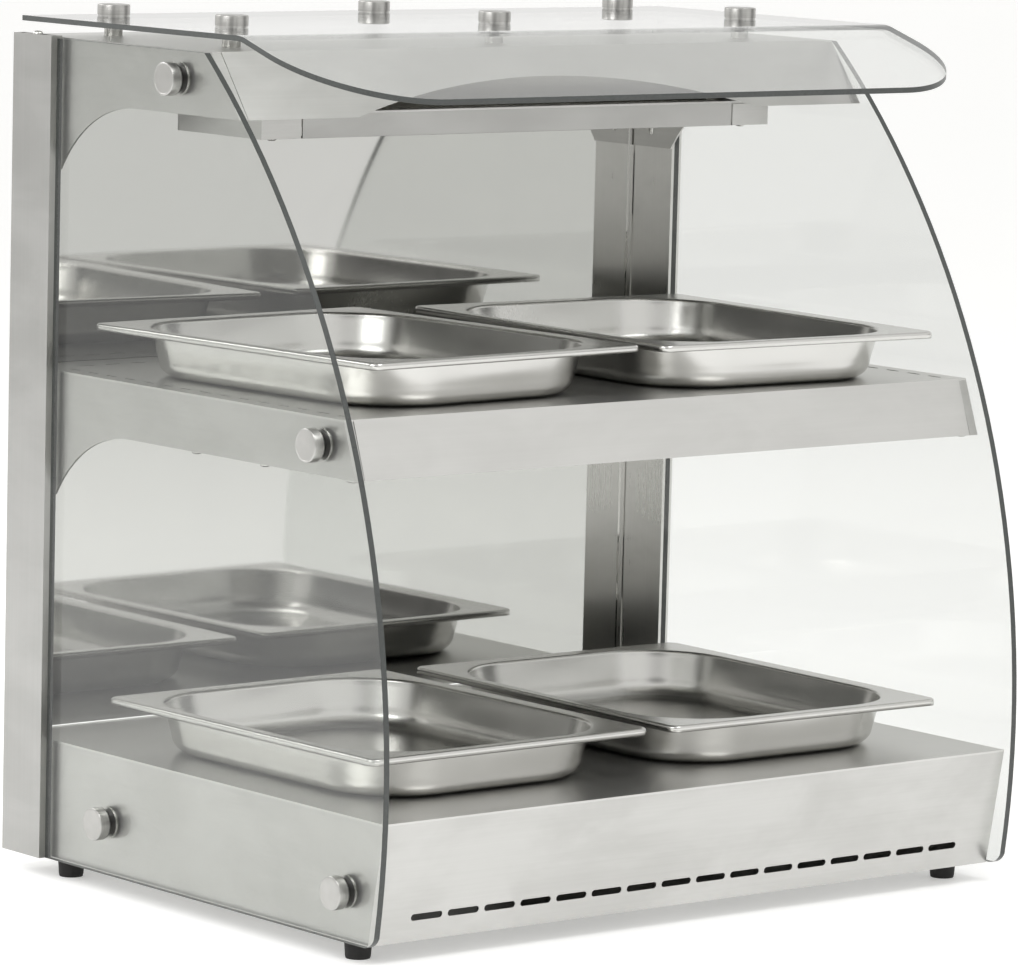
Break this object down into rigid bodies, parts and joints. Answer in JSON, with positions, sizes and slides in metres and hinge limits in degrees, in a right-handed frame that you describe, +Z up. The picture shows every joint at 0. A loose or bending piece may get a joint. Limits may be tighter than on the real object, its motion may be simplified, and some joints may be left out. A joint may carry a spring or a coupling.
{
  "type": "heated display case",
  "caption": "Countertop heated display case with open front, curved glass sides, glass canopy, heated base and shelf for half-size pans, and a mirror-backed rear door.",
  "frame": {"origin": "floor level, centre of the bounding box's width and depth", "axes": "+X to the customer's right, -Y towards the customer, +Z up"},
  "size_m": [0.638, 0.519, 0.6667],
  "materials": {
    "brushed_steel": "brushed stainless sheet, grain along the length",
    "polished_steel": "polished stainless",
    "mirror_steel": "mirror-finished stainless",
    "pan_steel": "pressed stainless, satin polished",
    "clear_glass": "clear toughened glass, ground edges",
    "black_rubber": "matt",
    "heater_sheath": "heat-tinted sheath",
    "white_ceramic": "unglazed",
    "black_plastic": "fine textured",
    "red_plastic": "gloss",
    "amber_lens": "translucent",
    "quartz_tube": "quartz",
    "grey_plastic": "moulded"
  },
  "bodies": {
    "case": {"base_casing": "brushed_steel", "base_deck": "brushed_steel", "base_bottom_plate": "brushed_steel", "base_rear_panel": "brushed_steel", "base_heat_shield": "polished_steel", "base_heater": "heater_sheath", "heater_clips": "polished_steel", "feet": "black_rubber", "foot_screws": "polished_steel", "terminal_block": "white_ceramic", "cord_gland": "black_plastic", "thermostat_body": "grey_plastic", "pilot_lamp": "amber_lens", "switch_housings": "black_plastic", "left_post": "brushed_steel", "right_post": "brushed_steel", "post_caps": "brushed_steel", "post_screws": "polished_steel", "shelf_deck": "brushed_steel", "shelf_bottom_cover": "brushed_steel", "shelf_arm_left": "brushed_steel", "shelf_arm_right": "brushed_steel", "shelf_heater": "heater_sheath", "shelf_screws": "polished_steel", "hood_shell": "brushed_steel", "hood_underside": "brushed_steel", "hood_arm_left": "brushed_steel", "hood_arm_right": "brushed_steel", "hood_rear_panel": "brushed_steel", "lamp_box": "brushed_steel", "lamp_end_blocks": "brushed_steel", "lamp_front_strip": "polished_steel", "heat_lamps": "quartz_tube", "lamp_holders": "white_ceramic", "lamp_reflector": "mirror_steel", "lamp_screws": "polished_steel", "side_glass_left": "clear_glass", "side_glass_right": "clear_glass", "side_standoff_caps": "polished_steel", "side_standoff_gaskets": "black_rubber", "side_standoff_nuts": "polished_steel", "canopy_glass": "clear_glass", "canopy_caps": "polished_steel", "canopy_gaskets": "black_rubber", "canopy_posts": "polished_steel", "hinge_frame_leaves": "polished_steel", "hinge_pins": "polished_steel", "door_catches": "black_plastic"},
    "rear_door": {"door_mirror_panel": "mirror_steel", "door_back_cover": "brushed_steel", "door_handle": "polished_steel", "hinge_door_leaves": "polished_steel"},
    "thermostat_dial": {"thermostat_knob": "black_plastic"},
    "heat_switch": {"heat_rocker": "red_plastic"},
    "light_switch": {"light_rocker": "black_plastic"},
    "pan_upper_left": {"upper_left_pan": "pan_steel"},
    "pan_upper_right": {"upper_right_pan": "pan_steel"},
    "pan_lower_left": {"lower_left_pan": "pan_steel"},
    "pan_lower_right": {"lower_right_pan": "pan_steel"}
  },
  "joints": [
    {"name": "rear_door_hinge", "type": "hinge", "parent": "case", "child": "rear_door", "pos_m": [0.303, 0.2145, 0.35], "axis": [0, 0, -1], "range_deg": [0, 105]},
    {"name": "thermostat_turn", "type": "hinge", "parent": "case", "child": "thermostat_dial", "pos_m": [-0.12, 0.2115, 0.065], "axis": [0, -1, 0], "range_deg": [0, 270]},
    {"name": "heat_switch_rock", "type": "hinge", "parent": "case", "child": "heat_switch", "pos_m": [-0.19, 0.2095, 0.065], "axis": [-1, 0, 0], "range_deg": [0, 18]},
    {"name": "light_switch_rock", "type": "hinge", "parent": "case", "child": "light_switch", "pos_m": [-0.24, 0.2095, 0.065], "axis": [-1, 0, 0], "range_deg": [0, 18]},
    {"name": "upper_left_pan_slide", "type": "slide", "parent": "case", "child": "pan_upper_left", "axis": [0, -1, 0], "range_m": [0, 0.4]},
    {"name": "upper_right_pan_slide", "type": "slide", "parent": "case", "child": "pan_upper_right", "axis": [0, -1, 0], "range_m": [0, 0.4]},
    {"name": "lower_left_pan_slide", "type": "slide", "parent": "case", "child": "pan_lower_left", "axis": [0, -1, 0], "range_m": [0, 0.4]},
    {"name": "lower_right_pan_slide", "type": "slide", "parent": "case", "child": "pan_lower_right", "axis": [0, -1, 0], "range_m": [0, 0.4]}
  ]
}
